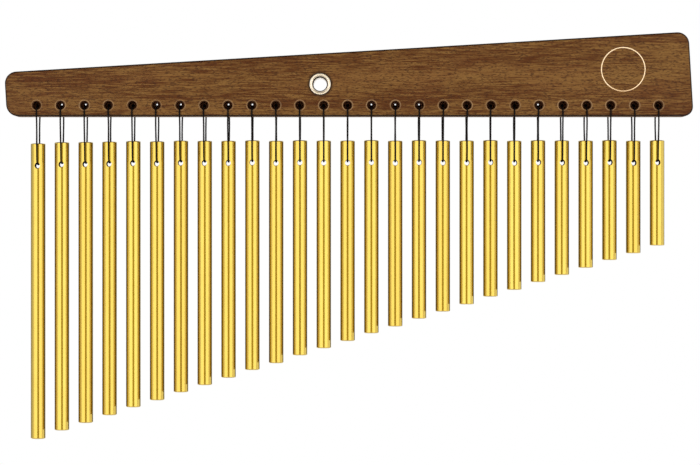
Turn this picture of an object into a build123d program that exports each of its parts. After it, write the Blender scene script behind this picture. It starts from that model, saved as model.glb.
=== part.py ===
from build123d import *
import math
import os

# Bar chimes: a falling row of tuned rods, each hung on its own cord loop from a tapered wooden bar.
# Millimetres. +X runs along the bar to its tall end, -Y faces the player and +Z is up.
# The origin is the centre of the grommet's bore, where the bar hangs on its stand.

# Driving sizes of the row
rod_count = 27
rod_pitch = 16.3
row_start = 193.2  # first rod, left of the bore

# Driving sizes of the wooden bar
bar_thickness = 18.0
bar_left_height = 30.0  # along the left end, which is square to the sloping top edge
bar_right_height = 57.8
bar_left_margin = 20.4  # first cord hole to the bottom left corner
bar_right_margin = 24.0
bar_corner_radius = 8.0
bar_low_corner_radius = 6.5  # bottom right corner
bar_edge_radius = 1.5  # easing all round both faces
bore_height = 21.8  # bottom edge to the grommet's bore
cord_hole_diameter = 5.5
cord_hole_height = 7.4  # bottom edge to the row of cord holes
cord_hole_chamfer = 0.5

# Driving sizes of the grommet
bore_diameter = 9.2
eyelet_wall = 0.8
eyelet_flange_diameter = 14.8
eyelet_flange_thickness = 0.9
eyelet_mouth_radius = 0.6
eyelet_roll_width = 0.9  # how far the back end is rolled out over the washer
eyelet_roll_thickness = 0.7
washer_diameter = 14.8
washer_thickness = 0.8
grommet_clearance = 0.1  # between the eyelet's barrel and what it passes through

# Driving sizes of the rods
rod_diameter = 10.0
longest_rod = 202.0
shortest_rod = 72.0
rod_end_chamfer = 0.7
rod_hang = 16.3  # bar's bottom edge to the rods' tops
low_end_drop = 1.9  # the first loop is tied this much longer, and the next ones less and less
low_end_fade = 3.5  # rods until a third of that is left
hang_scatter = 0.2  # the loops are tied by hand, so the tops are this uneven
cross_hole_diameter = 3.6
cross_hole_drop = 15.2  # rod's top to its cross hole

# Driving sizes of the cord loops
cord_diameter = 1.0
cord_clearance = 0.1  # between a cord and what it bears on
cord_turn_radius = 1.0  # tightest bend of the cord's centre line
cord_sides = 6
knot_width = 4.6
knot_height = 4.2
knot_length = 5.0
knot_shoulder = 0.6  # share of the knot's width left at its two ends
knot_sides = 8

# Places that several pieces share
bar_bottom = -bore_height
cord_hole_z = bar_bottom + cord_hole_height
bar_face = bar_thickness / 2
barrel_radius = bore_diameter / 2 + eyelet_wall
cord_seat = cord_diameter / 2 + cord_clearance
length_step = (longest_rod - shortest_rod) / (rod_count - 1)


def rod_x(place):
    return -row_start + rod_pitch * place


def rod_length(place):
    return longest_rod - length_step * place


def rod_top(place):
    uneven_turn = 2.5  # radians from one rod's unevenness to the next
    longer = low_end_drop * math.exp(-place / low_end_fade)
    return bar_bottom - rod_hang - longer - hang_scatter * math.cos(uneven_turn * place)


def make_header_bar():
    # The bottom edge is level, the top edge rises, and both ends are square to the top edge.
    left = rod_x(0) - bar_left_margin
    right = rod_x(rod_count - 1) + bar_right_margin
    slope = math.asin((bar_right_height - bar_left_height) / (right - left))
    up_the_end = Vector(-math.sin(slope), math.cos(slope))
    low_left = Vector(left, bar_bottom)
    low_right = Vector(right, bar_bottom)
    high_left = low_left + up_the_end * bar_left_height
    high_right = low_right + up_the_end * bar_right_height

    outline = make_face(Polyline(low_left, low_right, high_right, high_left, close=True))
    low_corner = outline.vertices().sort_by_distance(low_right)[0]
    outline = fillet(low_corner, bar_low_corner_radius)
    for corner in (low_left, high_right, high_left):
        outline = fillet(outline.vertices().sort_by_distance(corner)[0], bar_corner_radius)

    bar = extrude(Plane.XZ * outline, amount=bar_face, both=True)
    faces_front_and_back = bar.faces().filter_by(Axis.Y)
    bar = fillet(faces_front_and_back.edges(), bar_edge_radius)

    hole_radius = cord_hole_diameter / 2
    drill = Plane.XZ * Cylinder(hole_radius, bar_thickness)
    bar -= [Pos(rod_x(place), 0, cord_hole_z) * drill for place in range(rod_count)]
    rims = bar.edges().filter_by(GeomType.CIRCLE).filter_by(lambda e: math.isclose(e.radius, hole_radius))
    bar = chamfer(rims, cord_hole_chamfer)
    return bar - Plane.XZ * Cylinder(barrel_radius + grommet_clearance, bar_thickness)


def make_grommet_eyelet():
    # Flange and barrel in one drawn piece: turned profile, with radius along X and the bore along Y.
    front = -bar_face - eyelet_flange_thickness
    washer_back = bar_face + washer_thickness
    back = washer_back + eyelet_roll_thickness
    bore_radius = bore_diameter / 2
    flange_radius = eyelet_flange_diameter / 2
    roll_radius = barrel_radius + eyelet_roll_width
    profile = make_face(
        Polyline(
            (bore_radius, front),
            (flange_radius, front),
            (flange_radius, -bar_face),
            (barrel_radius, -bar_face),
            (barrel_radius, washer_back),
            (roll_radius, washer_back),
            (roll_radius, back),
            (bore_radius, back),
            close=True,
        )
    )
    for corner in ((bore_radius, front), (flange_radius, front), (roll_radius, back)):
        profile = fillet(profile.vertices().sort_by_distance(corner)[0], eyelet_mouth_radius)
    return revolve(profile, Axis.Y)


def make_grommet_washer():
    ring = Circle(washer_diameter / 2) - Circle(barrel_radius + grommet_clearance)
    back_of_bar = Plane((0, bar_face, 0), z_dir=(0, 1, 0))
    return extrude(back_of_bar * ring, amount=washer_thickness)


def make_chime_rod(place):
    length = rod_length(place)
    rod = Cylinder(rod_diameter / 2, length, align=(Align.CENTER, Align.CENTER, Align.MAX))
    rod = chamfer(rod.edges().filter_by(GeomType.CIRCLE), rod_end_chamfer)
    cross_drill = Plane.XZ * Cylinder(cross_hole_diameter / 2, 2 * rod_diameter)
    rod -= Pos(0, 0, -cross_hole_drop) * cross_drill
    return Pos(rod_x(place), 0, rod_top(place)) * rod


def half_loop_path(place):
    # Front half of a loop: out of the bar's hole, down the face, round the bottom edge and
    # straight to the rod, then in under the ceiling of its cross hole.
    run_in_bar = cord_hole_z - cord_hole_diameter / 2 + cord_seat
    run_in_rod = rod_top(place) - cross_hole_drop + cross_hole_diameter / 2 - cord_seat
    face_run = bar_face + cord_seat
    mouth = rod_diameter / 2 + cord_turn_radius
    edge_turn_radius = bar_edge_radius + cord_seat
    edge_centre = bar_bottom + bar_edge_radius
    lean = math.atan2(face_run - mouth, edge_centre - run_in_rod)
    edge_corner = edge_centre - edge_turn_radius * math.tan(lean / 2)
    return FilletPolyline(
        (0, 0, run_in_bar),
        (0, -face_run, run_in_bar),
        (0, -face_run, edge_corner),
        (0, -mouth, run_in_rod),
        (0, 0, run_in_rod),
        radius=(cord_hole_chamfer + cord_seat, edge_turn_radius, cord_turn_radius),
    )


def make_knot():
    # A pulled-down stopper knot that sits on the floor of the bar's hole.
    centre = cord_hole_z - cord_hole_diameter / 2 + cord_clearance + knot_height / 2
    shoulder = knot_length / 4
    stations = (
        (-knot_length / 2, knot_shoulder),
        (-shoulder, 1.0),
        (shoulder, 1.0),
        (knot_length / 2, knot_shoulder),
    )
    rings = []
    for along, share in stations:
        oval = [
            (
                share * knot_width / 2 * math.cos(math.tau * side / knot_sides),
                share * knot_height / 2 * math.sin(math.tau * side / knot_sides),
            )
            for side in range(knot_sides)
        ]
        rings.append(Plane((0, along, centre), x_dir=(1, 0, 0), z_dir=(0, -1, 0)) * Polygon(*oval, align=None))
    return loft(rings, ruled=True)


def make_cord_loop(place):
    path = half_loop_path(place)
    start = Plane(path @ 0, x_dir=(1, 0, 0), z_dir=path % 0)
    half = sweep(start * RegularPolygon(cord_diameter / 2, cord_sides), path)
    loop = half + mirror(half, Plane.XZ) + make_knot()
    return Pos(rod_x(place), 0, 0) * loop


os.makedirs("parts", exist_ok=True)
export_step(make_header_bar(), "parts/header_bar.step")
export_step(make_grommet_eyelet(), "parts/grommet_eyelet.step")
export_step(make_grommet_washer(), "parts/grommet_washer.step")
for place in range(rod_count):
    export_step(make_chime_rod(place), f"parts/chime_rod_{place + 1:02d}.step")
    export_step(make_cord_loop(place), f"parts/cord_loop_{place + 1:02d}.step")
print(f"first cord loop {2 * half_loop_path(0).length:.1f} mm long, without its knot")
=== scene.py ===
import math

import bmesh
import bpy
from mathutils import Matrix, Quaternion, Vector


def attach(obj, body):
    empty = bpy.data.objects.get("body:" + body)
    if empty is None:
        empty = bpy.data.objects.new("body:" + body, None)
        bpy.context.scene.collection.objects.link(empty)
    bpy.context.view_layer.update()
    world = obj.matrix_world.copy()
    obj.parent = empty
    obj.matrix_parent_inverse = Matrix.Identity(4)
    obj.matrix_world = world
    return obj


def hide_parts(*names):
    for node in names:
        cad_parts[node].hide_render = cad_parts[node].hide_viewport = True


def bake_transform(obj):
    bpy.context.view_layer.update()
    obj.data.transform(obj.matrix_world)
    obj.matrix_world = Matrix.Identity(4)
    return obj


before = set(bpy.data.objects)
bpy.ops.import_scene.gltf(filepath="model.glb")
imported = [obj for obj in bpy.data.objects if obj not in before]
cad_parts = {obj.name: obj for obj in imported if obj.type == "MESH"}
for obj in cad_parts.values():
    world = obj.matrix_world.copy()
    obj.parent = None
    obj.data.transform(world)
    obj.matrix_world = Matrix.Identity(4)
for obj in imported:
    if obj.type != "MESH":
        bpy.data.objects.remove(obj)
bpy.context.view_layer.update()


# Header bar
# One plank of stained hardwood, sawn to a taper with both ends square to the sloping edge.
# Its corners are rounded and its edges eased on a sander, and it is drilled along the straight
# edge for the cords, with the mouths of the holes broken, and once through for the grommet.
mm = 0.001
rod_count = 27
rod_pitch = 16.3 * mm
first_rod_x = -193.2 * mm
bar_face = 9 * mm  # half the thickness
bar_bottom = -21.8 * mm
bar_left, bar_right = -213.6 * mm, 254.6 * mm
bar_left_height, bar_right_height = 30 * mm, 57.8 * mm
corner_radius, low_right_radius = 8 * mm, 6.5 * mm
edge_radius = 1.5 * mm
cord_hole_z = -14.4 * mm
cord_hole_radius = 2.75 * mm
hole_mouth = 0.5 * mm  # how far each cord hole's edge is rounded
hole_sides = 48
grommet_hole_radius = 5.5 * mm
quarter_turn = math.pi / 2
same_place = 0.01 * mm  # points closer than this count as one
facing_along = 0.9  # share of a normal along an axis from which a face counts as facing that way
curve_limit = math.radians(40)  # faces that meet at less than this are shaded as one curve


def start_piece(name, primitive, **settings):
    """Add a primitive by itself, put its place into its mesh and open it for editing."""
    bpy.ops.object.select_all(action="DESELECT")
    primitive(**settings)
    piece = bpy.context.object
    piece.name = piece.data.name = name
    bpy.ops.object.transform_apply(location=True, rotation=True, scale=True)
    bpy.ops.object.mode_set(mode="EDIT")
    bpy.ops.mesh.select_mode(type="VERT")
    bpy.ops.mesh.select_all(action="SELECT")
    return piece


def pick(kind, test):
    """Select the points, edges or faces of the open mesh that pass a test."""
    bpy.ops.mesh.select_mode(type=kind)
    bpy.ops.mesh.select_all(action="DESELECT")
    mesh = bpy.context.object.data
    shape = bmesh.from_edit_mesh(mesh)
    for part in {"VERT": shape.verts, "EDGE": shape.edges, "FACE": shape.faces}[kind]:
        if test(part):
            part.select_set(True)
    shape.select_flush_mode()
    bmesh.update_edit_mesh(mesh)


def apply_modifier(piece, kind, **settings):
    """Add a modifier to a closed piece, set it and apply it."""
    bpy.context.view_layer.objects.active = piece
    modifier = piece.modifiers.new(kind.lower(), kind)
    for setting, value in settings.items():
        setattr(modifier, setting, value)
    bpy.ops.object.modifier_apply(modifier=modifier.name)


def make_drill(x, z, radius, straight, mouth):
    """A drill along Y: straight for so far each way, then each mouth step as (radius, reach)."""
    drill = start_piece(
        "drill",
        bpy.ops.mesh.primitive_cylinder_add,
        vertices=hole_sides,
        radius=radius,
        depth=2 * straight,
        location=(x, 0, z),
        rotation=(quarter_turn, 0, 0),
    )
    for side in (-1, 1):
        pick("FACE", lambda face: face.normal.y * side > facing_along)
        wide, far = radius, straight
        for next_wide, next_far in mouth:
            step = (0, side * (next_far - far), 0)
            bpy.ops.mesh.extrude_region_move(TRANSFORM_OT_translate={"value": step})
            growth = next_wide / wide
            bpy.ops.transform.resize(value=(growth, 1, growth), center_override=(x, 0, z))
            wide, far = next_wide, next_far
    bpy.ops.object.mode_set(mode="OBJECT")
    return drill


def cut(piece, cutter):
    """Take a cutter out of a closed piece, then throw the cutter away."""
    apply_modifier(piece, "BOOLEAN", operation="DIFFERENCE", solver="EXACT", object=cutter)
    bpy.data.objects.remove(cutter)


def smooth(piece):
    """Shade a closed piece round its curves, with its flat faces kept flat."""
    bpy.ops.object.select_all(action="DESELECT")
    piece.select_set(True)
    bpy.context.view_layer.objects.active = piece
    bpy.ops.object.shade_smooth_by_angle(angle=curve_limit)
    apply_modifier(piece, "WEIGHTED_NORMAL", keep_sharp=True)


def to_linear(hexed):
    """A colour as Blender takes it, from its sRGB hex value."""
    channels = [int(hexed[at : at + 2], 16) / 255 for at in (1, 3, 5)]
    return [c / 12.92 if c <= 0.04045 else ((c + 0.055) / 1.055) ** 2.4 for c in channels] + [1.0]


def put(tree, kind, inputs=(), **settings):
    """Add one node with its settings; each input takes a value or the socket that feeds it."""
    made = tree.nodes.new(kind)
    for setting, value in settings.items():
        setattr(made, setting, value)
    for socket, value in dict(inputs).items():
        if isinstance(value, bpy.types.NodeSocket):
            tree.links.new(value, made.inputs[socket])
        else:
            made.inputs[socket].default_value = value
    return made


def start_material(name):
    """A new material and its node tree, still empty."""
    material = bpy.data.materials.new(name)
    material.use_nodes = True
    material.node_tree.nodes.clear()
    return material, material.node_tree


def dress(piece, material):
    """Give a piece its one material."""
    piece.data.materials.clear()
    piece.data.materials.append(material)


slope = math.asin((bar_right_height - bar_left_height) / (bar_right - bar_left))
up_the_end = Vector((-math.sin(slope), 0, math.cos(slope)))
along_the_top = Vector((math.cos(slope), 0, math.sin(slope)))
low_left = Vector((bar_left, 0, bar_bottom))
low_right = Vector((bar_right, 0, bar_bottom))
high_left = low_left + up_the_end * bar_left_height
high_right = low_right + up_the_end * bar_right_height

spare = 10 * mm  # of plank at each end and along the top, before the saw cuts
plank_height = high_right.z + spare - bar_bottom
bar = start_piece(
    "header_bar_wood",
    bpy.ops.mesh.primitive_cube_add,
    size=1,
    location=((bar_left + bar_right) / 2, 0, bar_bottom + plank_height / 2),
    scale=(bar_right - bar_left + 2 * spare, 2 * bar_face, plank_height),
)
saw_cuts = ((high_left, up_the_end), (low_left, -along_the_top), (low_right, along_the_top))
for on_the_cut, waste_side in saw_cuts:
    bpy.ops.mesh.select_all(action="SELECT")
    bpy.ops.mesh.bisect(plane_co=on_the_cut, plane_no=waste_side, use_fill=True, clear_outer=True)

for corner, radius, turn in (
    (low_left, corner_radius, quarter_turn - slope),
    (low_right, low_right_radius, quarter_turn + slope),
    (high_right, corner_radius, quarter_turn),
    (high_left, corner_radius, quarter_turn),
):
    pick("EDGE", lambda edge: all((point.co.xz - corner.xz).length < same_place for point in edge.verts))
    bpy.ops.mesh.bevel(offset=radius * math.tan(turn / 2), segments=10, affect="EDGES")
pick("EDGE", lambda edge: abs(edge.verts[0].co.y - edge.verts[1].co.y) < same_place)
bpy.ops.mesh.bevel(offset=edge_radius, segments=6, affect="EDGES")
bpy.ops.object.mode_set(mode="OBJECT")

broken_edge = [
    (
        cord_hole_radius + hole_mouth * (1 - math.cos(math.radians(turned))),
        bar_face - hole_mouth * (1 - math.sin(math.radians(turned))),
    )
    for turned in (30, 60, 90)
]
past_the_face = (cord_hole_radius + hole_mouth, bar_face + spare)
drills = make_drill(
    first_rod_x, cord_hole_z, cord_hole_radius, bar_face - hole_mouth, broken_edge + [past_the_face]
)
apply_modifier(
    drills,
    "ARRAY",
    count=rod_count,
    use_relative_offset=False,
    use_constant_offset=True,
    constant_offset_displace=(rod_pitch, 0, 0),
)
cut(bar, drills)
cut(bar, make_drill(0, 0, grommet_hole_radius, bar_face + spare, []))
smooth(bar)

# Stained hardwood, planed and oiled. The stain sinks into the open pores, which show as short
# dark dashes along the grain, between soft bands of growth and a few redder patches.
stain_dark = to_linear("#4B2400")
stain_light = to_linear("#755226")
stain_red = to_linear("#653A1B")
stain_pore = to_linear("#331500")
# Painted shade, on the eased edges and in a ring round the grommet's flange.
edge_shade_brown = to_linear("#170A03")
# Painted shade, on the walls inside the cord holes.
hole_wall_shade = to_linear("#4A2A16")
# Painted highlight, on the broken mouths of the cord holes.
mouth_highlight = to_linear("#957654")
bend_long, bend_wide = 111.11 * mm, 33.333 * mm  # of the slow wander of the grain
bend_reach = 5 * mm  # from one side of its wander to the other
band_long, band_wide = 140 * mm, 13 * mm
fibre_long, fibre_wide = 14 * mm, 0.7 * mm
patch_long, patch_wide = 55.556 * mm, 16.667 * mm
# Real pores are about 0.2 mm wide; they are drawn at 0.6 mm, so that they show.
pore_long, pore_wide = 2.2 * mm, 0.6 * mm
pore_relief = 0.12 * mm
band_share, red_share, pore_share = 0.55, 0.25, 0.7
wood, tree = start_material("stained_hardwood")
coordinates = put(tree, "ShaderNodeTexCoord")
place = coordinates.outputs["Object"]


def along_the_grain(tree, where, long, wide, detail):
    """Noise drawn out along the plank, as long and as wide as one mark of it is."""
    stretched = put(tree, "ShaderNodeMapping", {"Vector": where, "Scale": (1 / long, 1 / wide, 1 / wide)})
    marks = {"Vector": stretched.outputs[0], "Scale": 1, "Detail": detail}
    return put(tree, "ShaderNodeTexNoise", marks)


def place_in_row(tree, x):
    """The nearest rod's number, from nought, and how far off that rod's middle a place lies."""
    in_pitches = put(tree, "ShaderNodeMath", {0: x, 1: -first_rod_x}, operation="ADD").outputs[0]
    in_pitches = put(tree, "ShaderNodeMath", {0: in_pitches, 1: rod_pitch}, operation="DIVIDE").outputs[0]
    nearest = put(tree, "ShaderNodeMath", {0: in_pitches}, operation="ROUND").outputs[0]
    nearest = put(tree, "ShaderNodeClamp", {"Value": nearest, "Min": 0, "Max": rod_count - 1}).outputs[0]
    off = put(tree, "ShaderNodeMath", {0: in_pitches, 1: nearest}, operation="SUBTRACT").outputs[0]
    off = put(tree, "ShaderNodeMath", {0: off, 1: rod_pitch}, operation="MULTIPLY").outputs[0]
    return nearest, off


def from_nearest_hole(tree, split):
    """How far a place lies from the axis of the nearest cord hole."""
    aside = place_in_row(tree, split.outputs["X"])[1]
    above = put(tree, "ShaderNodeMath", {0: split.outputs["Z"], 1: cord_hole_z}, operation="SUBTRACT")
    away = put(tree, "ShaderNodeCombineXYZ", {"X": aside, "Z": above.outputs[0]}).outputs[0]
    return put(tree, "ShaderNodeVectorMath", {0: away}, operation="LENGTH").outputs["Value"]


wander = along_the_grain(tree, place, bend_long, bend_wide, 2).outputs["Color"]
off_middle = {0: wander, 1: (0.5, 0.5, 0.5)}
off_middle = put(tree, "ShaderNodeVectorMath", off_middle, operation="SUBTRACT").outputs[0]
pushed = {0: off_middle, 1: (0, bend_reach, bend_reach)}
pushed = put(tree, "ShaderNodeVectorMath", pushed, operation="MULTIPLY").outputs[0]
grain = put(tree, "ShaderNodeVectorMath", {0: place, 1: pushed}, operation="ADD").outputs[0]
bands = along_the_grain(tree, grain, band_long, band_wide, 1).outputs["Fac"]
fibres = along_the_grain(tree, grain, fibre_long, fibre_wide, 2).outputs["Fac"]
pores = along_the_grain(tree, grain, pore_long, pore_wide, 1).outputs["Fac"]
patches = along_the_grain(tree, grain, patch_long, patch_wide, 2).outputs["Fac"]
pore_depth = {"Value": pores, "From Min": 0.5, "From Max": 0.67}
pore_depth = put(tree, "ShaderNodeMapRange", pore_depth, interpolation_type="SMOOTHSTEP").outputs[0]
redness = put(tree, "ShaderNodeMapRange", {"Value": patches, "From Min": 0.48, "From Max": 0.72}).outputs[0]
tone = {0: bands, 1: band_share, 2: fibres}
tone = put(tree, "ShaderNodeMath", tone, operation="MULTIPLY_ADD").outputs[0]
tone = put(tree, "ShaderNodeMapRange", {"Value": tone, "From Min": 0.625, "From Max": 0.905}).outputs[0]
colour = put(tree, "ShaderNodeMix", {0: tone, 6: stain_dark, 7: stain_light}, data_type="RGBA").outputs[2]
reddened = put(tree, "ShaderNodeMath", {0: redness, 1: red_share}, operation="MULTIPLY").outputs[0]
colour = put(tree, "ShaderNodeMix", {0: reddened, 6: colour, 7: stain_red}, data_type="RGBA").outputs[2]
pored = put(tree, "ShaderNodeMath", {0: pore_depth, 1: pore_share}, operation="MULTIPLY").outputs[0]
colour = put(tree, "ShaderNodeMix", {0: pored, 6: colour, 7: stain_pore}, data_type="RGBA").outputs[2]
# A painted shadow darkens the wood in a ring round the grommet's flange.
flange_shadow_edge, flange_shadow_full = 9.3 * mm, 7.6 * mm  # from the middle of the grommet
split = put(tree, "ShaderNodeSeparateXYZ", {0: place})
from_bore = put(tree, "ShaderNodeCombineXYZ", {"X": split.outputs["X"], "Z": split.outputs["Z"]}).outputs[0]
from_bore = put(tree, "ShaderNodeVectorMath", {0: from_bore}, operation="LENGTH").outputs["Value"]
flange_shadow = {"Value": from_bore, "From Min": flange_shadow_edge, "From Max": flange_shadow_full, "To Max": 0.72}
flange_shadow = put(tree, "ShaderNodeMapRange", flange_shadow).outputs[0]
colour = put(tree, "ShaderNodeMix", {0: flange_shadow, 6: colour, 7: edge_shade_brown}, data_type="RGBA").outputs[2]
# The eased edges are painted darker, as painted shade where they turn away from the light, but not at the
# holes.
clear_from, clear_to = cord_hole_radius + hole_mouth, cord_hole_radius + 2 * hole_mouth
from_hole = from_nearest_hole(tree, split)
facing = put(tree, "ShaderNodeSeparateXYZ", {0: coordinates.outputs["Normal"]}).outputs["Y"]
facing = put(tree, "ShaderNodeMath", {0: facing}, operation="ABSOLUTE").outputs[0]
eased = {"Value": facing, "From Min": 0.985, "From Max": 0.85, "To Max": 0.95}
eased = put(tree, "ShaderNodeMapRange", eased).outputs[0]
off_flat = {"Value": facing, "From Min": 0.01, "From Max": 0.15, "To Min": 0.3}
off_flat = put(tree, "ShaderNodeMapRange", off_flat).outputs[0]
eased = put(tree, "ShaderNodeMath", {0: eased, 1: off_flat}, operation="MULTIPLY").outputs[0]
clear = put(tree, "ShaderNodeMapRange", {"Value": from_hole, "From Min": clear_from, "From Max": clear_to})
eased = put(tree, "ShaderNodeMath", {0: eased, 1: clear.outputs[0]}, operation="MULTIPLY").outputs[0]
colour = put(tree, "ShaderNodeMix", {0: eased, 6: colour, 7: edge_shade_brown}, data_type="RGBA").outputs[2]
# A lighter ring is painted round the mouth of each hole, as a painted highlight on its broken edge, brighter
# at some holes than at others.
light_ring_radius = cord_hole_radius + 1.3 * hole_mouth
light_ring_edge, light_ring_full = 1.4 * hole_mouth, 0.4 * hole_mouth  # to either side of that radius
off_mouth = put(tree, "ShaderNodeMath", {0: from_hole, 1: light_ring_radius}, operation="SUBTRACT").outputs[0]
off_mouth = put(tree, "ShaderNodeMath", {0: off_mouth}, operation="ABSOLUTE").outputs[0]
lighter_rim = {"Value": off_mouth, "From Min": light_ring_edge, "From Max": light_ring_full, "To Max": 0.7}
lighter_rim = put(tree, "ShaderNodeMapRange", lighter_rim).outputs[0]
uneven = {"Value": patches, "From Min": 0.62, "From Max": 0.4, "To Min": 0.3}
uneven = put(tree, "ShaderNodeMapRange", uneven).outputs[0]
lighter_rim = put(tree, "ShaderNodeMath", {0: lighter_rim, 1: uneven}, operation="MULTIPLY").outputs[0]
colour = put(tree, "ShaderNodeMix", {0: lighter_rim, 6: colour, 7: mouth_highlight}, data_type="RGBA").outputs[2]
# The drilled walls are rough, and they are painted dark, as painted shade inside the holes.
wall_edge, wall_full = cord_hole_radius + 0.7 * hole_mouth, cord_hole_radius + 0.35 * hole_mouth
in_hole = {"Value": from_hole, "From Min": wall_edge, "From Max": wall_full}
in_hole = put(tree, "ShaderNodeMapRange", in_hole).outputs[0]
sideways = put(tree, "ShaderNodeMapRange", {"Value": facing, "From Min": 0.98, "From Max": 0.7}).outputs[0]
drilled = put(tree, "ShaderNodeMath", {0: in_hole, 1: sideways}, operation="MULTIPLY").outputs[0]
colour = put(tree, "ShaderNodeMix", {0: drilled, 6: colour, 7: hole_wall_shade}, data_type="RGBA").outputs[2]
# Oil leaves the faces satin, and the edges and drilled walls stay matt.
sheen = put(tree, "ShaderNodeMapRange", {"Value": fibres, "To Min": 0.42, "To Max": 0.62}).outputs[0]
sheen = put(tree, "ShaderNodeMix", {0: eased, 2: sheen, 3: 0.9}).outputs[0]
sheen = put(tree, "ShaderNodeMix", {0: drilled, 2: sheen, 3: 1.0}).outputs[0]
relief = put(tree, "ShaderNodeMath", {0: fibres, 1: pore_depth}, operation="SUBTRACT").outputs[0]
bump = put(tree, "ShaderNodeBump", {"Height": relief, "Strength": 0.35, "Distance": pore_relief}).outputs[0]
oiled = {"Base Color": colour, "Roughness": sheen, "Normal": bump, "IOR": 1.5, "Specular IOR Level": 0.15}
shader = put(tree, "ShaderNodeBsdfPrincipled", oiled).outputs[0]
put(tree, "ShaderNodeOutputMaterial", {"Surface": shader})
dress(bar, wood)
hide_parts("header_bar")
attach(bar, "bar")


# Printed ring
# A thin cream ring, screen printed on the front of the tall end and left bare inside.
# The ink lies a little proud of the oiled wood and lets some of the grain through.
ring_centre = (206.5 * mm, 10.1 * mm)
ring_radius = 15.15 * mm
ring_line = 0.64 * mm
ring_sides = 128
ink_thickness = 0.04 * mm
ring = start_piece(
    "printed_ring",
    bpy.ops.mesh.primitive_circle_add,
    vertices=ring_sides,
    radius=ring_radius,
    fill_type="NGON",
    location=(ring_centre[0], -bar_face, ring_centre[1]),
    rotation=(quarter_turn, 0, 0),
)
bpy.ops.mesh.inset(thickness=ring_line)
bpy.ops.mesh.delete(type="FACE")
bpy.ops.mesh.select_all(action="SELECT")
bpy.ops.mesh.extrude_region_move(TRANSFORM_OT_translate={"value": (0, -ink_thickness, 0)})
bpy.ops.mesh.select_all(action="SELECT")
bpy.ops.mesh.normals_make_consistent(inside=False)
bpy.ops.object.mode_set(mode="OBJECT")
smooth(ring)

# Cream screen ink: matt and nearly opaque, thinner in specks where the pores take it in.
ink_cream = to_linear("#F3D7B0")
ink_thin = to_linear("#C79A63")
speck_long, speck_wide = 2 * mm, 0.5 * mm
speck_relief = 0.02 * mm
starved_height = 5 * mm  # of the arc that got less ink
ink, tree = start_material("cream_screen_ink")
place = put(tree, "ShaderNodeTexCoord").outputs["Object"]
specks = along_the_grain(tree, place, speck_long, speck_wide, 2).outputs["Fac"]
thin = put(tree, "ShaderNodeMapRange", {"Value": specks, "From Min": 0.55, "From Max": 0.8}).outputs[0]
# The screen gave less ink along the lower arc.
height = put(tree, "ShaderNodeSeparateXYZ", {0: place}).outputs["Z"]
lower_arc = ring_centre[1] - ring_radius
starved = {"Value": height, "From Min": lower_arc + starved_height, "From Max": lower_arc, "To Max": 0.7}
starved = put(tree, "ShaderNodeMapRange", starved).outputs[0]
thin = put(tree, "ShaderNodeMath", {0: thin, 1: starved}, operation="MAXIMUM").outputs[0]
colour = put(tree, "ShaderNodeMix", {0: thin, 6: ink_cream, 7: ink_thin}, data_type="RGBA").outputs[2]
bump = put(tree, "ShaderNodeBump", {"Height": specks, "Strength": 0.2, "Distance": speck_relief}).outputs[0]
printed = {"Base Color": colour, "Roughness": 0.6, "Normal": bump}
shader = put(tree, "ShaderNodeBsdfPrincipled", printed).outputs[0]
put(tree, "ShaderNodeOutputMaterial", {"Surface": shader})
dress(ring, ink)
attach(ring, "bar")


# Grommet eyelet
# A flanged eyelet drawn from thin steel and nickel plated. It is pressed through the bar from
# the front, and its back end is rolled out over the washer, which locks it in the wood.
grommet_sides = 96
bore_radius = 4.6 * mm
barrel_radius = 5.4 * mm
flange_radius = 7.4 * mm
flange_front = -9.9 * mm
washer_back = 9.8 * mm
roll_radius = 6.3 * mm
roll_back = 10.5 * mm
groove_radius = 5.9 * mm
groove_half = 0.3 * mm
groove_depth = 0.22 * mm
funnel_radius = 5.1 * mm
funnel_depth = 1.5 * mm
# Within this depth, shade is also painted in the funnel, the groove and at the rim.
worn_and_shaded_depth = 5 * mm  # how far in from the front the bore is worn
profile = [  # radius, place along the bore, and how far each corner is rounded
    (bore_radius, flange_front + funnel_depth, 0.3 * mm),
    (funnel_radius, flange_front, 0.15 * mm),
    (groove_radius - groove_half, flange_front, 0.1 * mm),
    (groove_radius, flange_front + groove_depth, 0.1 * mm),
    (groove_radius + groove_half, flange_front, 0.1 * mm),
    (flange_radius, flange_front, 0.6 * mm),
    (flange_radius, -bar_face, 0.1 * mm),
    (barrel_radius, -bar_face, 0),
    (barrel_radius, washer_back, 0),
    (roll_radius, washer_back, 0.2 * mm),
    (roll_radius, roll_back, 0.4 * mm),
    (bore_radius, roll_back, 0.55 * mm),
]
eyelet = start_piece("grommet_eyelet_nickel", bpy.ops.mesh.primitive_plane_add, size=2 * mm)
bpy.ops.mesh.merge(type="CENTER")
bpy.ops.transform.translate(value=(profile[0][0], profile[0][1], 0))
for (here_r, here_y, _), (next_r, next_y, _) in zip(profile, profile[1:]):
    step = (next_r - here_r, next_y - here_y, 0)
    bpy.ops.mesh.extrude_vertices_move(TRANSFORM_OT_translate={"value": step})
pick("VERT", lambda point: abs(point.co.x - bore_radius) < same_place)
bpy.ops.mesh.edge_face_add()
for corner_r, corner_y, rounding in profile:
    if rounding:
        pick("VERT", lambda point: (point.co - Vector((corner_r, corner_y, 0))).length < same_place)
        bpy.ops.mesh.bevel(offset=rounding, segments=5, affect="VERTICES")
bpy.ops.mesh.select_all(action="SELECT")
bpy.ops.mesh.spin(steps=grommet_sides, angle=math.tau, center=(0, 0, 0), axis=(0, 1, 0))
bpy.ops.mesh.select_all(action="SELECT")
bpy.ops.mesh.remove_doubles(threshold=0.1 * same_place)
bpy.ops.mesh.normals_make_consistent(inside=False)
bpy.ops.object.mode_set(mode="OBJECT")
smooth(eyelet)

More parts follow.
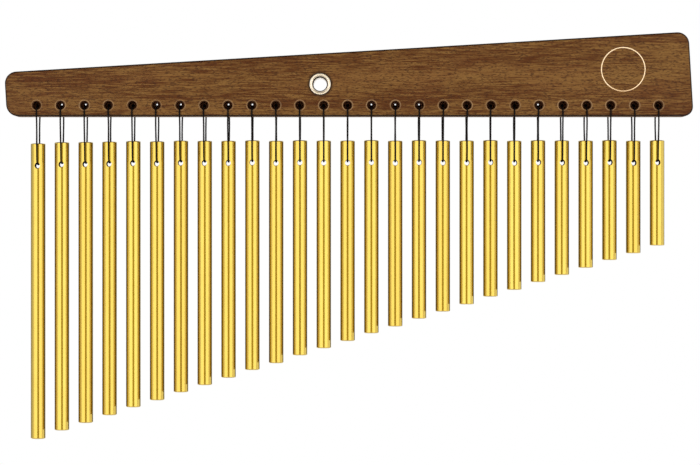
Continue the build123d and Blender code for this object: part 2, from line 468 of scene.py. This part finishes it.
# Nickel plate over drawn steel: bright with a warm cast, with the fine rings of the draw
# on it and a few cloudy spots where hands have dulled the shine.
nickel_bright = to_linear("#EDE2D6")
nickel_dull = to_linear("#DACDC0")
nickel_handled = to_linear("#CABEB1")
# Painted shade, in the bore's funnel, the groove's lower part and at the flange's rim.
shade_black = to_linear("#0B0907")
draw_rings = 0.25 * mm  # from one ring of the draw to the next
draw_relief = 0.01 * mm
cloud_size = 3 * mm  # across one cloudy spot
nickel, tree = start_material("nickel_plated_steel")
place = put(tree, "ShaderNodeTexCoord").outputs["Object"]
across = put(tree, "ShaderNodeVectorMath", {0: place, 1: (1, 0, 1)}, operation="MULTIPLY").outputs[0]
from_axis = put(tree, "ShaderNodeVectorMath", {0: across}, operation="LENGTH").outputs["Value"]
rings = {0: from_axis, 1: math.tau / draw_rings}
rings = put(tree, "ShaderNodeMath", rings, operation="MULTIPLY").outputs[0]
rings = put(tree, "ShaderNodeMath", {0: rings}, operation="SINE").outputs[0]
clouds = {"Vector": place, "Scale": 1 / cloud_size, "Detail": 3}
clouds = put(tree, "ShaderNodeTexNoise", clouds).outputs["Fac"]
dulled = put(tree, "ShaderNodeMapRange", {"Value": clouds, "From Min": 0.45, "From Max": 0.75}).outputs[0]
colour = {0: dulled, 6: nickel_bright, 7: nickel_dull}
colour = put(tree, "ShaderNodeMix", colour, data_type="RGBA").outputs[2]
shine = put(tree, "ShaderNodeMapRange", {"Value": clouds, "To Min": 0.3, "To Max": 0.45}).outputs[0]
# Pegs and fingers have dulled the front of the plating, from the bore out to the groove.
handled_edge, handled_full = groove_radius + 0.4 * mm, groove_radius - 0.1 * mm
worn_and_shaded_end = flange_front + worn_and_shaded_depth
worn_and_shaded_fade = 0.2 * mm
split = put(tree, "ShaderNodeSeparateXYZ", {0: place})
in_front = {"Value": split.outputs["Y"], "From Min": worn_and_shaded_end + worn_and_shaded_fade, "From Max": worn_and_shaded_end - worn_and_shaded_fade}
in_front = put(tree, "ShaderNodeMapRange", in_front).outputs[0]
handled = {"Value": from_axis, "From Min": handled_edge, "From Max": handled_full}
handled = put(tree, "ShaderNodeMapRange", handled).outputs[0]
handled = put(tree, "ShaderNodeMath", {0: handled, 1: in_front}, operation="MULTIPLY").outputs[0]
colour = put(tree, "ShaderNodeMix", {0: handled, 6: colour, 7: nickel_handled}, data_type="RGBA").outputs[2]
# The funnel is painted black and matt, as painted shade inside the bore.
funnel_edge, funnel_full = funnel_radius + 0.25 * mm, funnel_radius + 0.1 * mm
in_bore = {"Value": from_axis, "From Min": funnel_edge, "From Max": funnel_full}
in_bore = put(tree, "ShaderNodeMapRange", in_bore).outputs[0]
# Painted shadow also darkens the lower part of the groove and the flange's rim.
groove_edge, groove_full = 0.4 * mm, 0.15 * mm  # to either side of the groove
low_from, low_to = -3 * mm, -5.5 * mm
rim_from, rim_to = flange_radius - 0.5 * mm, flange_radius - 0.15 * mm
off_groove = put(tree, "ShaderNodeMath", {0: from_axis, 1: groove_radius}, operation="SUBTRACT").outputs[0]
off_groove = put(tree, "ShaderNodeMath", {0: off_groove}, operation="ABSOLUTE").outputs[0]
in_groove = {"Value": off_groove, "From Min": groove_edge, "From Max": groove_full}
in_groove = put(tree, "ShaderNodeMapRange", in_groove).outputs[0]
low = {"Value": split.outputs["Z"], "From Min": low_from, "From Max": low_to, "To Max": 0.5}
low = put(tree, "ShaderNodeMapRange", low).outputs[0]
groove_and_rim_shade = put(tree, "ShaderNodeMath", {0: in_groove, 1: low}, operation="MULTIPLY").outputs[0]
at_rim = {"Value": from_axis, "From Min": rim_from, "From Max": rim_to}
at_rim = put(tree, "ShaderNodeMapRange", at_rim).outputs[0]
groove_and_rim_shade = put(tree, "ShaderNodeMath", {0: groove_and_rim_shade, 1: at_rim}, operation="MAXIMUM").outputs[0]
painted_shade = put(tree, "ShaderNodeMath", {0: in_bore, 1: groove_and_rim_shade}, operation="MAXIMUM").outputs[0]
painted_shade = put(tree, "ShaderNodeMath", {0: painted_shade, 1: in_front}, operation="MULTIPLY").outputs[0]
colour = put(tree, "ShaderNodeMix", {0: painted_shade, 6: colour, 7: shade_black}, data_type="RGBA").outputs[2]
shine = put(tree, "ShaderNodeMix", {0: painted_shade, 2: shine, 3: 0.9}).outputs[0]
# The painted shade is also left unmetallic, so that it stays dark.
metal_share = put(tree, "ShaderNodeMath", {0: 1.0, 1: painted_shade}, operation="SUBTRACT").outputs[0]
bump = put(tree, "ShaderNodeBump", {"Height": rings, "Strength": 0.08, "Distance": draw_relief}).outputs[0]
finish = {
    "Base Color": colour,
    "Metallic": metal_share,
    "Roughness": shine,
    "Normal": bump,
    "Specular IOR Level": 0.05,
}
shader = put(tree, "ShaderNodeBsdfPrincipled", finish).outputs[0]
put(tree, "ShaderNodeOutputMaterial", {"Surface": shader})
dress(eyelet, nickel)
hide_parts("grommet_eyelet")
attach(eyelet, "bar")


# Grommet washer
# A flat ring stamped from the same plated steel, under the eyelet's rolled rim at the back.
# The stamp rounds its outer edge a little.
washer_radius = 7.4 * mm
washer_thickness = 0.8 * mm
washer_hole_radius = 5.5 * mm
stamped_edge = 0.2 * mm
washer = start_piece(
    "grommet_washer_nickel",
    bpy.ops.mesh.primitive_cylinder_add,
    vertices=grommet_sides,
    radius=washer_radius,
    depth=washer_thickness,
    location=(0, bar_face + washer_thickness / 2, 0),
    rotation=(quarter_turn, 0, 0),
)
pick("FACE", lambda face: abs(face.normal.y) > facing_along)
bpy.ops.mesh.inset(thickness=washer_radius - washer_hole_radius)
bpy.ops.mesh.bridge_edge_loops()


def round_the_rim(edge):
    """Whether an edge runs round the washer's outside, on either face."""
    one, other = edge.verts[0].co, edge.verts[1].co
    outside = all(abs(point.xz.length - washer_radius) < same_place for point in (one, other))
    return outside and abs(one.y - other.y) < same_place


pick("EDGE", round_the_rim)
bpy.ops.mesh.bevel(offset=stamped_edge, segments=4, affect="EDGES")
bpy.ops.mesh.select_all(action="SELECT")
bpy.ops.mesh.normals_make_consistent(inside=False)
bpy.ops.object.mode_set(mode="OBJECT")
smooth(washer)
dress(washer, nickel)
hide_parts("grommet_washer")
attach(washer, "bar")


# Chime rods
# Twenty-seven solid rods of gold anodised aluminium, each cut 5 mm shorter than the one before.
# Every rod is faced and rounded at both ends and drilled across near its top, deburred, for its cord.
rod_radius = 5 * mm
longest_rod = 202 * mm
length_step = 5 * mm
rod_end_rounding = 0.7 * mm
rods_top = bar_bottom - 16.3 * mm
low_end_drop = 1.9 * mm  # the first loop is tied this much longer, and the next ones less and less
low_end_fade = 3.5  # rods until a third of that is left
top_scatter = 0.2 * mm
scatter_turn = 2.5  # radians from one rod's unevenness to the next
cross_hole_radius = 1.8 * mm
cross_hole_drop = 15.2 * mm
deburred = 0.35 * mm
rod_sides = 72
ring_above_hole = 2.6 * mm  # rings cut round the rod this far above and below its cross hole
plain_below_hole = 10 * mm  # from here down a rod is plain, and shortened to its length


def rod_x(number):
    """The middle of a rod along the row; the rods are numbered from one."""
    return first_rod_x + rod_pitch * (number - 1)


def rod_top(number):
    """The height of a rod's top, a little uneven because the loops are tied by hand."""
    along = number - 1
    longer = low_end_drop * math.exp(-along / low_end_fade)
    return rods_top - longer - top_scatter * math.cos(scatter_turn * along)


first_rod = start_piece(
    "chime_rod_01_gold",
    bpy.ops.mesh.primitive_cylinder_add,
    vertices=rod_sides,
    radius=rod_radius,
    depth=longest_rod,
    location=(rod_x(1), 0, rod_top(1) - longest_rod / 2),
)
pick("EDGE", lambda edge: abs(edge.verts[0].co.z - edge.verts[1].co.z) < same_place)
bpy.ops.mesh.bevel(offset=rod_end_rounding, segments=4, affect="EDGES")
cross_hole_z = rod_top(1) - cross_hole_drop
for above in (ring_above_hole, 0, -ring_above_hole):
    bpy.ops.mesh.select_all(action="SELECT")
    bpy.ops.mesh.bisect(plane_co=(0, 0, cross_hole_z + above), plane_no=(0, 0, 1))
bpy.ops.object.mode_set(mode="OBJECT")
countersink = [
    (cross_hole_radius + deburred, rod_radius),
    (cross_hole_radius + 2 * deburred, rod_radius + deburred),
]
cut(first_rod, make_drill(rod_x(1), cross_hole_z, cross_hole_radius, rod_radius - deburred, countersink))
smooth(first_rod)

rods = [first_rod]
for number in range(2, rod_count + 1):
    bpy.ops.object.select_all(action="DESELECT")
    first_rod.select_set(True)
    bpy.context.view_layer.objects.active = first_rod
    bpy.ops.object.duplicate(linked=False)
    rod = bpy.context.object
    rod.name = rod.data.name = f"chime_rod_{number:02d}_gold"
    bpy.ops.object.mode_set(mode="EDIT")
    pick("VERT", lambda point: point.co.z < cross_hole_z - plain_below_hole)
    bpy.ops.transform.translate(value=(0, 0, length_step * (number - 1)))
    bpy.ops.mesh.select_all(action="SELECT")
    bpy.ops.transform.translate(value=(rod_x(number) - rod_x(1), 0, rod_top(number) - rod_top(1)))
    bpy.ops.object.mode_set(mode="OBJECT")
    rods.append(rod)

# Aluminium, drawn to size, polished and anodised gold. The dyed oxide gives a satin yellow metal
# with faint draw lines along it, a slightly different tone from rod to rod, and turned ends.
gold_bright = to_linear("#BBA34F")
gold_deep = to_linear("#B69B47")
# Wear, and painted highlight, on the rounded rims.
gold_rim_light_and_wear = to_linear("#C3B17C")
# Painted shade, on the walls inside the cross holes.
gold_hole_shade = to_linear("#33240E")
# Draw lines are a few hundredths of a millimetre wide; they are drawn at 0.5 mm, so that they show.
line_wide, line_long = 0.5 * mm, 60 * mm
line_relief = 0.003 * mm
dye_cloud = 14 * mm  # across one cloud in the dye
facing_rings = 0.3 * mm  # from one ring of the facing cut on the ends to the next
hole_reach = 4 * cross_hole_radius  # above and below the row of cross holes; no end is this near
gold, tree = start_material("gold_anodised_aluminium")
coordinates = put(tree, "ShaderNodeTexCoord")
place = coordinates.outputs["Object"]
split = put(tree, "ShaderNodeSeparateXYZ", {0: place})
which_rod, off_axis = place_in_row(tree, split.outputs["X"])
across = put(tree, "ShaderNodeCombineXYZ", {"X": off_axis, "Y": split.outputs["Y"]}).outputs[0]
from_axis = put(tree, "ShaderNodeVectorMath", {0: across}, operation="LENGTH").outputs["Value"]
drawn = {"Vector": place, "Scale": (1 / line_wide, 1 / line_wide, 1 / line_long)}
drawn = put(tree, "ShaderNodeMapping", drawn).outputs[0]
draw_lines = put(tree, "ShaderNodeTexNoise", {"Vector": drawn, "Scale": 1, "Detail": 2}).outputs["Fac"]
clouds = {"Vector": place, "Scale": 1 / dye_cloud, "Detail": 3}
clouds = put(tree, "ShaderNodeTexNoise", clouds).outputs["Fac"]
own_tone = put(tree, "ShaderNodeTexWhiteNoise", {"W": which_rod}, noise_dimensions="1D").outputs["Value"]
tone = put(tree, "ShaderNodeMath", {0: own_tone, 1: clouds}, operation="ADD").outputs[0]
tone = put(tree, "ShaderNodeMapRange", {"Value": tone, "From Min": 0.3, "From Max": 1.5}).outputs[0]
colour = put(tree, "ShaderNodeMix", {0: tone, 6: gold_bright, 7: gold_deep}, data_type="RGBA").outputs[2]
normal = put(tree, "ShaderNodeSeparateXYZ", {0: coordinates.outputs["Normal"]})
on_the_end = put(tree, "ShaderNodeMath", {0: normal.outputs["Z"]}, operation="ABSOLUTE").outputs[0]
# The rounded rims are painted lighter: partly wear, where they rub against the next rod, and partly a
# painted highlight, where light catches them.
rim_light_share = 0.4
rim_near = {"Value": on_the_end, "From Min": 0.1, "From Max": 0.5}
rim_near = put(tree, "ShaderNodeMapRange", rim_near).outputs[0]
rim_far = {"Value": on_the_end, "From Min": 0.99, "From Max": 0.8}
rim_far = put(tree, "ShaderNodeMapRange", rim_far).outputs[0]
lighter_rim = put(tree, "ShaderNodeMath", {0: rim_near, 1: rim_far}, operation="MULTIPLY").outputs[0]
lighter_rim = put(tree, "ShaderNodeMath", {0: lighter_rim, 1: rim_light_share}, operation="MULTIPLY").outputs[0]
colour = put(tree, "ShaderNodeMix", {0: lighter_rim, 6: colour, 7: gold_rim_light_and_wear}, data_type="RGBA").outputs[2]
# Painted shade darkens the walls of the cross hole, which face away from the rod's outside.
level = put(tree, "ShaderNodeCombineXYZ", {"X": normal.outputs["X"], "Y": normal.outputs["Y"]}).outputs[0]
outwards = put(tree, "ShaderNodeVectorMath", {0: across}, operation="NORMALIZE").outputs[0]
outwards = put(tree, "ShaderNodeVectorMath", {0: level, 1: outwards}, operation="DOT_PRODUCT")
turned_in = {"Value": outwards.outputs["Value"], "From Min": 0.9, "From Max": 0.6}
turned_in = put(tree, "ShaderNodeMapRange", turned_in).outputs[0]
at_hole = {0: split.outputs["Z"], 1: rods_top - cross_hole_drop, 2: hole_reach}
at_hole = put(tree, "ShaderNodeMath", at_hole, operation="COMPARE").outputs[0]
hole_shade = put(tree, "ShaderNodeMath", {0: turned_in, 1: at_hole}, operation="MULTIPLY").outputs[0]
colour = put(tree, "ShaderNodeMix", {0: hole_shade, 6: colour, 7: gold_hole_shade}, data_type="RGBA").outputs[2]
satin = put(tree, "ShaderNodeMath", {0: draw_lines, 1: clouds}, operation="ADD").outputs[0]
satin = {"Value": satin, "From Min": 0.6, "From Max": 1.4, "To Min": 0.1, "To Max": 0.15}
satin = put(tree, "ShaderNodeMapRange", satin).outputs[0]
satin = put(tree, "ShaderNodeMix", {0: hole_shade, 2: satin, 3: 0.9}).outputs[0]
rings = {0: from_axis, 1: math.tau / facing_rings}
rings = put(tree, "ShaderNodeMath", rings, operation="MULTIPLY").outputs[0]
rings = put(tree, "ShaderNodeMath", {0: rings}, operation="SINE").outputs[0]
faced = put(tree, "ShaderNodeMath", {0: on_the_end, 1: 0.95}, operation="GREATER_THAN").outputs[0]
relief = put(tree, "ShaderNodeMix", {0: faced, 2: draw_lines, 3: rings}).outputs[0]
bump = put(tree, "ShaderNodeBump", {"Height": relief, "Strength": 0.02, "Distance": line_relief}).outputs[0]
anodised = {"Base Color": colour, "Metallic": 1.0, "Roughness": satin, "Normal": bump}
shader = put(tree, "ShaderNodeBsdfPrincipled", anodised).outputs[0]
put(tree, "ShaderNodeOutputMaterial", {"Surface": shader})
for number, rod in enumerate(rods, 1):
    dress(rod, gold)
    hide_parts(f"chime_rod_{number:02d}")
    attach(rod, f"chime_{number:02d}")


# Cord loops
# One loop of thin twisted nylon to a rod, black, pulled straight by the rod's weight. It runs through
# the rod's cross hole, up both faces of the bar and into its hole. There it is knotted, and the knot
# stays jammed in the wood when the rod swings.
cord_radius = 0.63 * mm
cord_plies = 3
cord_lay = 3.2 * mm  # for one whole turn of the plies
cord_sides = 12
ring_gap = 0.22 * mm  # from one ring of points along the cord to the next
cord_valley = 0.85  # share of the radius to which loose fibres fill the grooves between plies
cord_run = 9.65 * mm  # from the middle of the bar to the cord on its face
cord_mouth = 6 * mm  # from the rod's middle to the cord's turn into the cross hole
run_in_bar = -16.55 * mm  # height of the cord in the bar's hole
edge_turn_z = -20.4 * mm  # where it turns round the bar's bottom edge
run_below_rod_top = 14.05 * mm  # from the rod's top down to the cord in its cross hole
standoff = 0.15 * mm  # of the cord's turns from the mouths of both holes
sway_reach = 0.2 * mm  # how far a strand bows to the side between bar and rod
sway_turn = 1.9  # radians from one loop's sway to the next
loop_steps, knot_steps = 64, 12  # points read between two corners of a route
near = 6 * 2 * cord_radius  # extra points, six diameters from an edge
knot_radius = 2.95 * mm
knot_turns, knot_bights = 7, 8  # times the cord goes round the knot, and over and under its rim
knot_depth = 1.7 * mm
knot_spin = 2.4  # radians from the way one knot is turned to the next
bight_points = 12  # of the route in each bight
tight_middle, slack_middle = 0.3 * mm, 1.1 * mm  # from the knot's axis to its innermost turn
slack_lift = 0.8  # how far a slack knot's inner turns are pushed up, as a share of their way in
# Loops tied with a slacker knot, which lets daylight through its middle.
slack_knots = (2, 3, 6, 7, 9, 10, 15, 16, 17, 22)
# Loops that hang a little turned, and how far to the side their strands are at the bar's face.
turned_loops = {
    5: 0.15 * mm,
    6: 0.2 * mm,
    7: 0.35 * mm,
    8: 0.35 * mm,
    20: 0.4 * mm,
    21: 0.4 * mm,
    22: 0.4 * mm,
}


def read_line(route, closed, steps):
    """Points along one smooth NURBS line, read from a curve with no bevel."""
    curve = bpy.data.curves.new("route", "CURVE")
    curve.dimensions = "3D"
    spline = curve.splines.new("NURBS")
    spline.points.add(len(route) - 1)
    for point, at in zip(spline.points, route):
        point.co = (*at, 1)
    spline.order_u = 3
    spline.use_endpoint_u = not closed
    spline.use_cyclic_u = closed
    spline.resolution_u = steps
    carrier = bpy.data.objects.new("route", curve)
    mesh = bpy.data.meshes.new_from_object(carrier)
    line = [point.co.copy() for point in mesh.vertices]
    bpy.data.objects.remove(carrier)
    bpy.data.curves.remove(curve)
    bpy.data.meshes.remove(mesh)
    return line


def thin_out(line, gap):
    """Keep the points of a line that lie a gap or more apart."""
    kept = [line[0]]
    for point in line[1:]:
        if (point - kept[-1]).length >= gap:
            kept.append(point)
    return kept


def plies_outline():
    """Outline of the touching plies: each side's angle and its distance from the cord's middle."""
    half = math.pi / cord_plies
    ply = cord_radius / (1 + 1 / math.sin(half))
    middle = cord_radius - ply
    outline = []
    for side in range(cord_sides):
        angle = math.tau * side / cord_sides
        off_ply = (angle + half) % (2 * half) - half
        reach = max(ply**2 - (middle * math.sin(off_ply)) ** 2, 0)
        on_ply = middle * math.cos(off_ply) + math.sqrt(reach)
        outline.append((angle, max(on_ply, cord_valley * cord_radius)))
    return outline


def lay_strand(line, closed):
    """Points and faces of twisted plies along a line."""
    count = len(line)
    sides = plies_outline()
    tangents = []
    for at in range(count):
        before = line[at - 1] if closed or at > 0 else line[0]
        after = line[(at + 1) % count] if closed or at < count - 1 else line[-1]
        tangents.append((after - before).normalized())
    across = tangents[0].orthogonal().normalized()
    carried = []
    for tangent in tangents:
        across = (across - tangent * across.dot(tangent)).normalized()
        carried.append(across)
    lengths = [0.0]
    for here, there in zip(line, line[1:]):
        lengths.append(lengths[-1] + (there - here).length)
    whole = lengths[-1]
    twist = math.tau / cord_lay
    if closed:
        whole += (line[0] - line[-1]).length
        back = (across - tangents[0] * across.dot(tangents[0])).normalized()
        slip = math.atan2(carried[0].cross(back).dot(tangents[0]), carried[0].dot(back))
        ply_turn = math.tau / cord_plies
        twist = (round(twist * whole / ply_turn) * ply_turn - slip) / whole
    points = []
    for middle, tangent, across, run in zip(line, tangents, carried, lengths):
        for angle, reach in sides:
            points.append(middle + Quaternion(tangent, angle + twist * run) @ across * reach)
    width = len(sides)
    faces = []
    for ring in range(count if closed else count - 1):
        here, there = ring * width, (ring + 1) % count * width
        for side in range(width):
            beside = (side + 1) % width
            faces.append((here + side, here + beside, there + beside, there + side))
    if not closed:
        faces.append(tuple(reversed(range(width))))
        faces.append(tuple(range((count - 1) * width, count * width)))
    return points, faces


def loop_route(number):
    """The loop's corners, from the knot out to the front, down, through the rod and back up."""
    x = rod_x(number)
    in_rod = rod_top(number) - run_below_rod_top
    seated = in_rod - standoff
    lean = (cord_run - cord_mouth) / (edge_turn_z - in_rod)
    sway = sway_reach * math.sin(sway_turn * number)
    turn = turned_loops.get(number, 0) / cord_run
    front = [
        (0, 0, run_in_bar),
        (0, -cord_run + (run_in_bar - edge_turn_z), run_in_bar),
        (0, -cord_run - standoff, run_in_bar + standoff),
        (0, -cord_run, edge_turn_z),
        (sway, -cord_run + near * lean, edge_turn_z - near),
        (-sway / 2, -cord_mouth - near * lean, in_rod + near),
        (0, -cord_mouth, seated),
        (0, -cord_mouth + near, seated),
    ]
    back = [(-side, -depth, height) for side, depth, height in reversed(front)]
    return [Vector((x + side + turn * depth, depth, height)) for side, depth, height in front + back]


def knot_route(number):
    """A wound stopper knot that fills the bar's hole, turned differently in each."""
    slack = number in slack_knots
    middle = Vector((rod_x(number), 0, cord_hole_z))
    widest = knot_radius - cord_radius
    narrowest = slack_middle if slack else tight_middle
    ring, swing = (widest + narrowest) / 2, (widest - narrowest) / 2
    lift = slack_lift if slack else 0
    steps = bight_points * knot_bights
    route = []
    for step in range(steps):
        way = math.tau * step / steps
        around = knot_turns * way + knot_spin * number
        reach = ring + swing * math.cos(knot_bights * way)
        depth = knot_depth * math.sin(knot_bights * way)
        height = reach * math.sin(around) + lift * (widest - reach)
        route.append(middle + Vector((reach * math.cos(around), depth, height)))
    return route


def add_strand(name, line, closed):
    """A piece of twisted cord along a line."""
    points, faces = lay_strand(thin_out(line, ring_gap), closed)
    mesh = bpy.data.meshes.new(name)
    mesh.from_pydata(points, [], faces)
    mesh.shade_smooth()
    strand = bpy.data.objects.new(name, mesh)
    bpy.context.scene.collection.objects.link(strand)
    return strand


cords = []
knots = []
for number in range(1, rod_count + 1):
    loop_line = read_line(loop_route(number), False, loop_steps)
    cords.append(add_strand(f"cord_loop_{number:02d}_nylon", loop_line, False))
    knot_line = read_line(knot_route(number), True, knot_steps)
    knots.append(add_strand(f"cord_knot_{number:02d}_nylon", knot_line, True))

# Black nylon, twisted from filaments in three plies. It looks nearly black with a soft sheen,
# and a little fuzzy and worn where single fibres stand out.
nylon_black = to_linear("#060303")
nylon_worn = to_linear("#1E100D")
# Dust, and painted highlight, on the outside of the knots.
nylon_dust_and_light = to_linear("#7A4E3A")
# Real fibres are a few hundredths of a millimetre wide; they are drawn at 0.3 mm, so that they show.
fuzz_size = 0.3 * mm
fuzz_relief = 0.04 * mm
nylon, tree = start_material("black_twisted_nylon")
place = put(tree, "ShaderNodeTexCoord").outputs["Object"]
fuzz = put(tree, "ShaderNodeTexNoise", {"Vector": place, "Scale": 1 / fuzz_size, "Detail": 3}).outputs["Fac"]
worn = put(tree, "ShaderNodeMapRange", {"Value": fuzz, "From Min": 0.5, "From Max": 0.8}).outputs[0]
colour = put(tree, "ShaderNodeMix", {0: worn, 6: nylon_black, 7: nylon_worn}, data_type="RGBA").outputs[2]
# Dust and stain from the drilled wall stick to the outside of the knots, and a painted highlight lightens
# them there, where they sit in the hole's shade.
lighten_from, lighten_to = 0.9 * mm, 2.3 * mm  # from the middle of the hole
hole_edge = cord_hole_radius + hole_mouth
split = put(tree, "ShaderNodeSeparateXYZ", {0: place})
from_hole = from_nearest_hole(tree, split)
dust_and_light = {"Value": from_hole, "From Min": lighten_from, "From Max": lighten_to}
dust_and_light = put(tree, "ShaderNodeMapRange", dust_and_light).outputs[0]
in_wood = {0: split.outputs["Y"], 1: 0, 2: bar_face / 2}
in_wood = put(tree, "ShaderNodeMath", in_wood, operation="COMPARE").outputs[0]
dust_and_light = put(tree, "ShaderNodeMath", {0: dust_and_light, 1: in_wood}, operation="MULTIPLY").outputs[0]
inside = put(tree, "ShaderNodeMath", {0: from_hole, 1: hole_edge}, operation="LESS_THAN").outputs[0]
dust_and_light = put(tree, "ShaderNodeMath", {0: dust_and_light, 1: inside}, operation="MULTIPLY").outputs[0]
colour = put(tree, "ShaderNodeMix", {0: dust_and_light, 6: colour, 7: nylon_dust_and_light}, data_type="RGBA").outputs[2]
sheen = put(tree, "ShaderNodeMapRange", {"Value": fuzz, "To Min": 0.5, "To Max": 0.75}).outputs[0]
bump = put(tree, "ShaderNodeBump", {"Height": fuzz, "Strength": 0.3, "Distance": fuzz_relief}).outputs[0]
twisted = {"Base Color": colour, "Roughness": sheen, "Normal": bump, "IOR": 1.53, "Specular IOR Level": 0.08}
shader = put(tree, "ShaderNodeBsdfPrincipled", twisted).outputs[0]
put(tree, "ShaderNodeOutputMaterial", {"Surface": shader})
for number, cord in enumerate(cords, 1):
    dress(cord, nylon)
    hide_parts(f"cord_loop_{number:02d}")
    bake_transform(cord)
for knot in knots:
    dress(knot, nylon)
    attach(knot, "bar")


# Floor
# A plain pale studio floor, well below the hanging part. It is lit from underneath, as a
# shooting table is, and more so towards its edge, where it meets the white backdrop.
floor_z = -0.55
floor_radius = 1.6
floor_sides = 128
mottle_size = 40 * mm  # across one cloud in the paper
floor = start_piece(
    "studio_floor",
    bpy.ops.mesh.primitive_circle_add,
    vertices=floor_sides,
    radius=floor_radius,
    fill_type="NGON",
    location=(0, 0, floor_z),
)
bpy.ops.object.mode_set(mode="OBJECT")

# Studio paper: matt and nearly white, with a faint mottle.
floor_pale = to_linear("#F2F1EF")
floor_grey = to_linear("#EAE9E6")
paper, tree = start_material("pale_studio_paper")
place = put(tree, "ShaderNodeTexCoord").outputs["Object"]
mottle = {"Vector": place, "Scale": 1 / mottle_size, "Detail": 3}
mottle = put(tree, "ShaderNodeTexNoise", mottle).outputs["Fac"]
colour = put(tree, "ShaderNodeMix", {0: mottle, 6: floor_pale, 7: floor_grey}, data_type="RGBA").outputs[2]
across = put(tree, "ShaderNodeVectorMath", {0: place, 1: (1, 1, 0)}, operation="MULTIPLY").outputs[0]
from_middle = put(tree, "ShaderNodeVectorMath", {0: across}, operation="LENGTH").outputs["Value"]
glow_from, glow_to = 0.3 * floor_radius, 0.85 * floor_radius
glow = {"Value": from_middle, "From Min": glow_from, "From Max": glow_to, "To Min": 0.3}
glow = put(tree, "ShaderNodeMapRange", glow, interpolation_type="SMOOTHSTEP").outputs[0]
lit_paper = {"Base Color": colour, "Roughness": 0.8, "Emission Color": floor_pale, "Emission Strength": glow}
shader = put(tree, "ShaderNodeBsdfPrincipled", lit_paper).outputs[0]
put(tree, "ShaderNodeOutputMaterial", {"Surface": shader})
dress(floor, paper)


# Light
# Tall softboxes stand in an arc either side of the camera, and the gap between them shows as a dark
# line down each rod, warmed by a gold card behind the camera. Weaker boxes light the back and the top,
# and the backdrop is white to the camera.
camera_place = Vector((20.36 * mm, -1.65, -101.1 * mm))
box_height = 1.25
box_foot = 0.02  # above the floor
# Corners of the boxes either side, on the floor plan: metres from the camera's line, and along it.
box_corners = ((0.49, -1.65), (1.32, -0.64), (1.66, -0.28), (1.70, -0.25), (1.55, 0.95))
front_radiance, wing_radiance = 2.3, 1.4
left_radiance, right_radiance = 0.9, 1.4
card_half, card_y, card_radiance = 0.45, -2.1, 0.72
card_gold = (1, 0.78, 0.03)
back_half, back_y, back_radiance = 0.95, 1.65, 0.8
room_light = 0.12


def add_softbox(name, place, aim, width, height, radiance, tint=(1, 1, 1)):
    """An evenly lit panel that faces its aim and that the camera doesn't see."""
    lamp = bpy.data.lights.new(name, "AREA")
    lamp.color = tint
    lamp.shape = "RECTANGLE"
    lamp.size, lamp.size_y = width, height
    lamp.energy = radiance * math.pi * width * height
    box = bpy.data.objects.new(name, lamp)
    bpy.context.scene.collection.objects.link(box)
    box.location = place
    box.rotation_euler = (Vector(aim) - Vector(place)).to_track_quat("-Z", "Y").to_euler()
    box.visible_camera = False


def stand_softbox(name, start, end, radiance, tint=(1, 1, 1)):
    """A tall softbox between two places on the floor plan, facing the row, from just above the floor."""
    start, end = Vector(start), Vector(end)
    middle = (start + end) / 2
    height = floor_z + box_foot + box_height / 2
    aim = (camera_place.x, 0, height)
    add_softbox(name, (middle.x, middle.y, height), aim, (end - start).length, box_height, radiance, tint)


middle_x = camera_place.x
for side, side_radiance in ((-1, left_radiance), (1, right_radiance)):
    inner, elbow, wing, near_end, far_end = [(middle_x + side * out, along) for out, along in box_corners]
    stand_softbox("front_softbox", inner, elbow, front_radiance)
    stand_softbox("wing_softbox", elbow, wing, wing_radiance)
    stand_softbox("side_softbox", near_end, far_end, side_radiance)
card_ends = (middle_x - card_half, card_y), (middle_x + card_half, card_y)
stand_softbox("gold_card", *card_ends, card_radiance, card_gold)
back_ends = (middle_x - back_half, back_y), (middle_x + back_half, back_y)
stand_softbox("back_softbox", *back_ends, back_radiance)
add_softbox("top_softbox", place=(0, 0, 1.7), aim=(0, 0, 0), width=2.4, height=2.0, radiance=0.6)
add_softbox("high_back_softbox", place=(0, 1.5, 1.2), aim=(0, 0, 0), width=4.0, height=1.0, radiance=1.2)

world = bpy.data.worlds.new("studio")
bpy.context.scene.world = world
world.use_nodes = True
tree = world.node_tree
tree.nodes.clear()
seen = put(tree, "ShaderNodeBackground", {"Color": (1, 1, 1, 1), "Strength": 1.0}).outputs[0]
room = put(tree, "ShaderNodeBackground", {"Color": (1, 1, 1, 1), "Strength": room_light}).outputs[0]
looked_at = put(tree, "ShaderNodeLightPath").outputs["Is Camera Ray"]
both = put(tree, "ShaderNodeMixShader", {0: looked_at, 1: room, 2: seen}).outputs[0]
put(tree, "ShaderNodeOutputWorld", {"Surface": both})
bpy.context.scene.view_settings.view_transform = "Standard"


# Camera
# It stands level and square to the bar, as in the photograph, a little right of the grommet and
# halfway down the object. A long lens from 1.65 m away keeps the rods nearly parallel.
lens = bpy.data.cameras.new("camera")
lens.lens = 123.9  # millimetres, as the sensor
lens.sensor_width = 36
camera = bpy.data.objects.new("camera", lens)
bpy.context.scene.collection.objects.link(camera)
camera.location = camera_place
camera.rotation_euler = (quarter_turn, 0, 0)
bpy.context.scene.camera = camera
